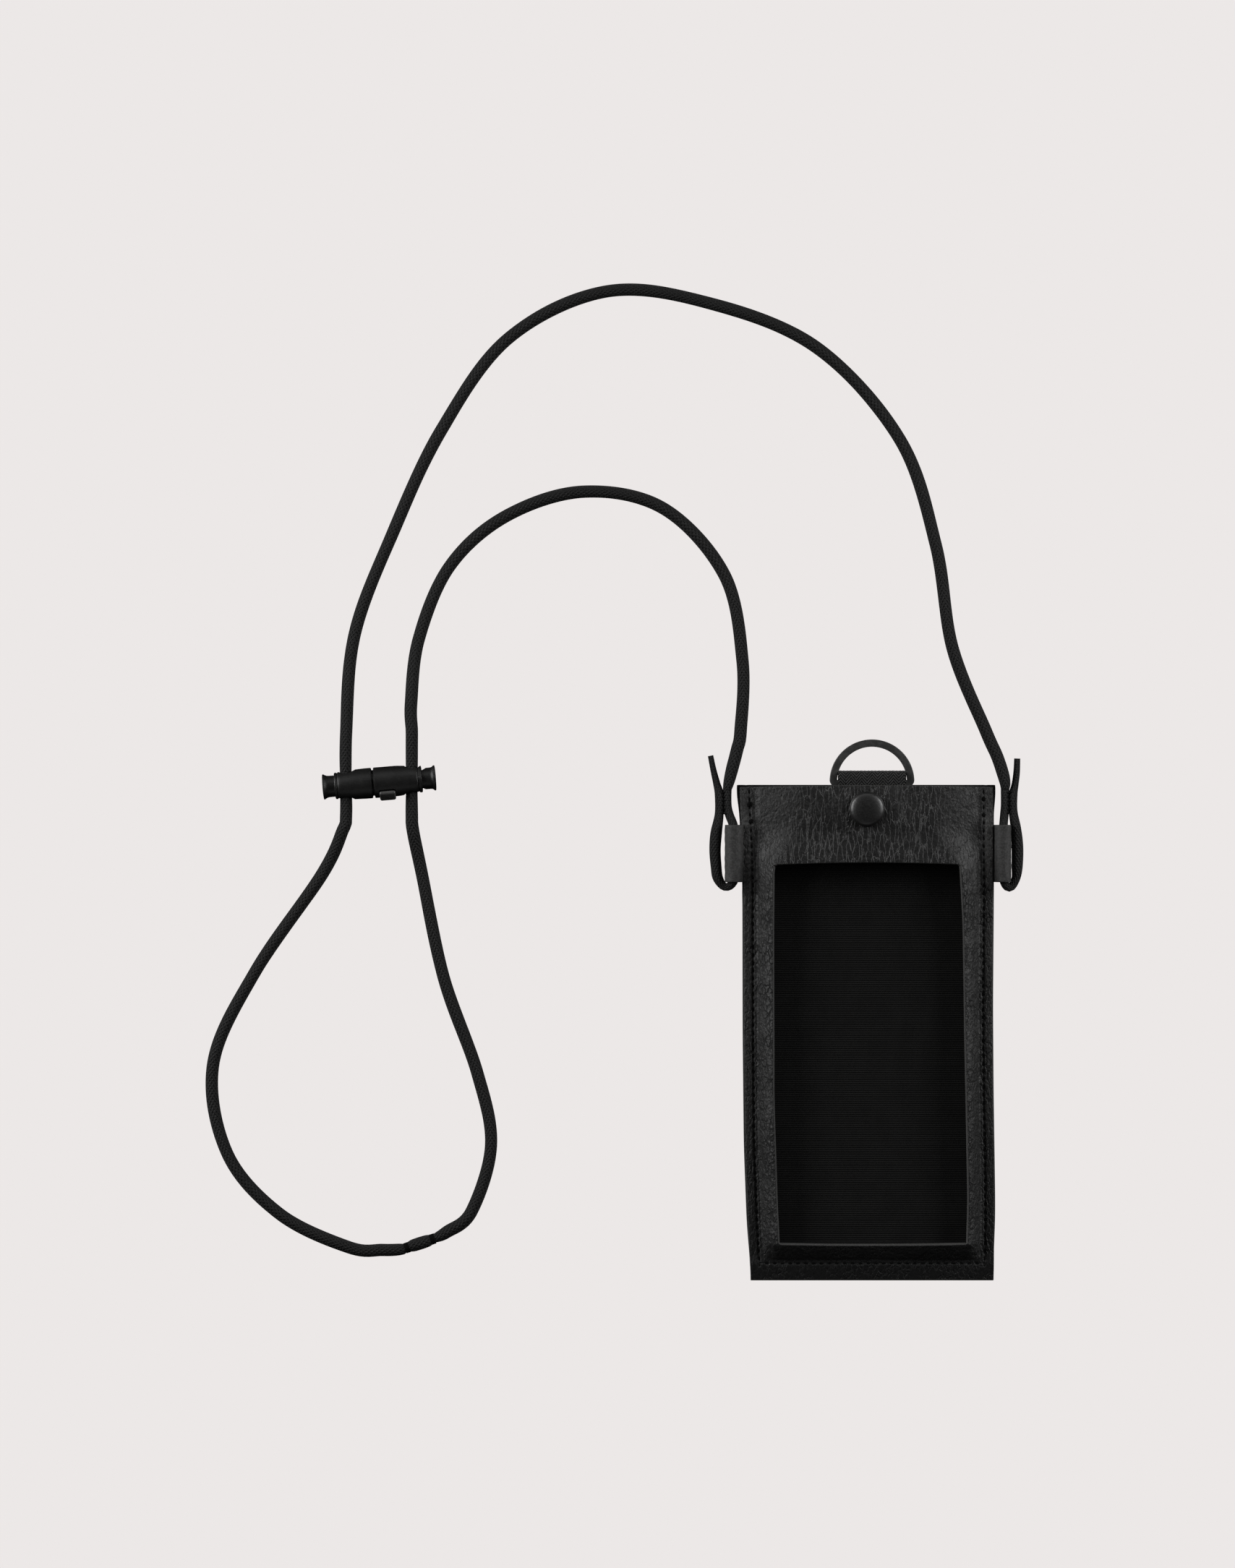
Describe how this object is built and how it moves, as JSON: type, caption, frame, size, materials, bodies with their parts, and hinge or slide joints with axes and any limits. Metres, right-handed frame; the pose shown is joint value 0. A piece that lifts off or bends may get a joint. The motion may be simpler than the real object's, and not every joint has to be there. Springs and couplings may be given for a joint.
{
  "type": "phone neck pouch",
  "caption": "Flat leather phone pouch with a window, snap-closed mouth, D-ring on webbing, side tabs and a round elastic neck cord with a breakaway two-barrel cord stopper.",
  "frame": {"origin": "centre of the pouch's back face, which lies on the table", "axes": "+X to the pouch's right side as seen from the front, +Y from the bottom fold to the mouth, +Z out of the front"},
  "size_m": [0.2934, 0.3581, 0.0113],
  "materials": {
    "leather": "pebbled, softly creased, semi-matte",
    "tab_leather": "smooth thin leather, semi-matte",
    "ribbed_lining": "fine crosswise ribs, matte",
    "webbing": "woven herringbone, matte",
    "thread": "twisted polyester thread, matte",
    "cord": "fine braided elastic cover, matte",
    "coated_metal": "matte black coating",
    "snap_metal": "satin black lacquer",
    "stopper_plastic": "moulded, satin black",
    "spring_steel": "drawn wire"
  },
  "bodies": {
    "pouch": {"front_panel": "leather", "back_panel": "leather", "back_lining": "ribbed_lining", "left_tab": "tab_leather", "right_tab": "tab_leather", "seam_stitches": "thread", "ring_webbing": "webbing", "webbing_stitches": "thread", "snap_stud": "snap_metal", "snap_post": "snap_metal", "left_end_loop": "cord", "left_end_stitches": "thread", "left_cord_upper": "cord", "left_cord_lower": "cord", "cord_splice": "cord", "splice_whipping": "thread", "right_cord_lower": "cord", "right_cord_upper": "cord", "right_end_loop": "cord", "right_end_stitches": "thread"},
    "snap_flap": {"top_band": "leather", "snap_cap": "snap_metal", "snap_socket": "snap_metal"},
    "ring": {"d_ring": "coated_metal"},
    "right_strand": {"left_cord_grip": "cord"},
    "left_half": {"left_barrel": "stopper_plastic", "left_spring": "spring_steel"},
    "left_button": {"left_plunger": "stopper_plastic"},
    "right_half": {"right_barrel": "stopper_plastic", "right_spring": "spring_steel"},
    "right_button": {"right_plunger": "stopper_plastic"},
    "latch": {"latch_button": "stopper_plastic"}
  },
  "joints": [
    {"name": "snap_release", "type": "slide", "parent": "pouch", "child": "snap_flap", "axis": [0, 0, 1], "range_m": [0, 0.01]},
    {"name": "ring_swing", "type": "hinge", "parent": "pouch", "child": "ring", "pos_m": [0.001, 0.09, 0.0039], "axis": [1, 0, 0], "range_deg": [-75, 75]},
    {"name": "buckle_release", "type": "slide", "parent": "pouch", "child": "right_strand", "axis": [0.9966, 0.0819, 0], "range_m": [0, 0.01], "deforming": ["left_cord_upper", "left_cord_lower"]},
    {"name": "left_slide", "type": "slide", "parent": "pouch", "child": "left_half", "axis": [0, 1, 0], "range_m": [-0.003, 0.012]},
    {"name": "right_slide", "type": "slide", "parent": "right_strand", "child": "right_half", "axis": [0, 1, 0], "range_m": [-0.003, 0.012]},
    {"name": "left_press", "type": "slide", "parent": "left_half", "child": "left_button", "axis": [0.9966, 0.0819, 0], "range_m": [0, 0.0024], "stiffness_N_per_m": 400, "springref_m": -0.002, "deforming": ["left_spring"]},
    {"name": "right_press", "type": "slide", "parent": "right_half", "child": "right_button", "axis": [-0.9966, -0.0819, 0], "range_m": [0, 0.0026], "stiffness_N_per_m": 400, "springref_m": -0.002, "deforming": ["right_spring"]},
    {"name": "latch_press", "type": "slide", "parent": "right_half", "child": "latch", "axis": [-0.0695, 0.8452, -0.5299], "range_m": [0, 0.0006], "stiffness_N_per_m": 600, "springref_m": -0.001}
  ],
  "couplings": [
    {"joint": "right_slide", "follows": "left_slide", "ratio": 1}
  ]
}
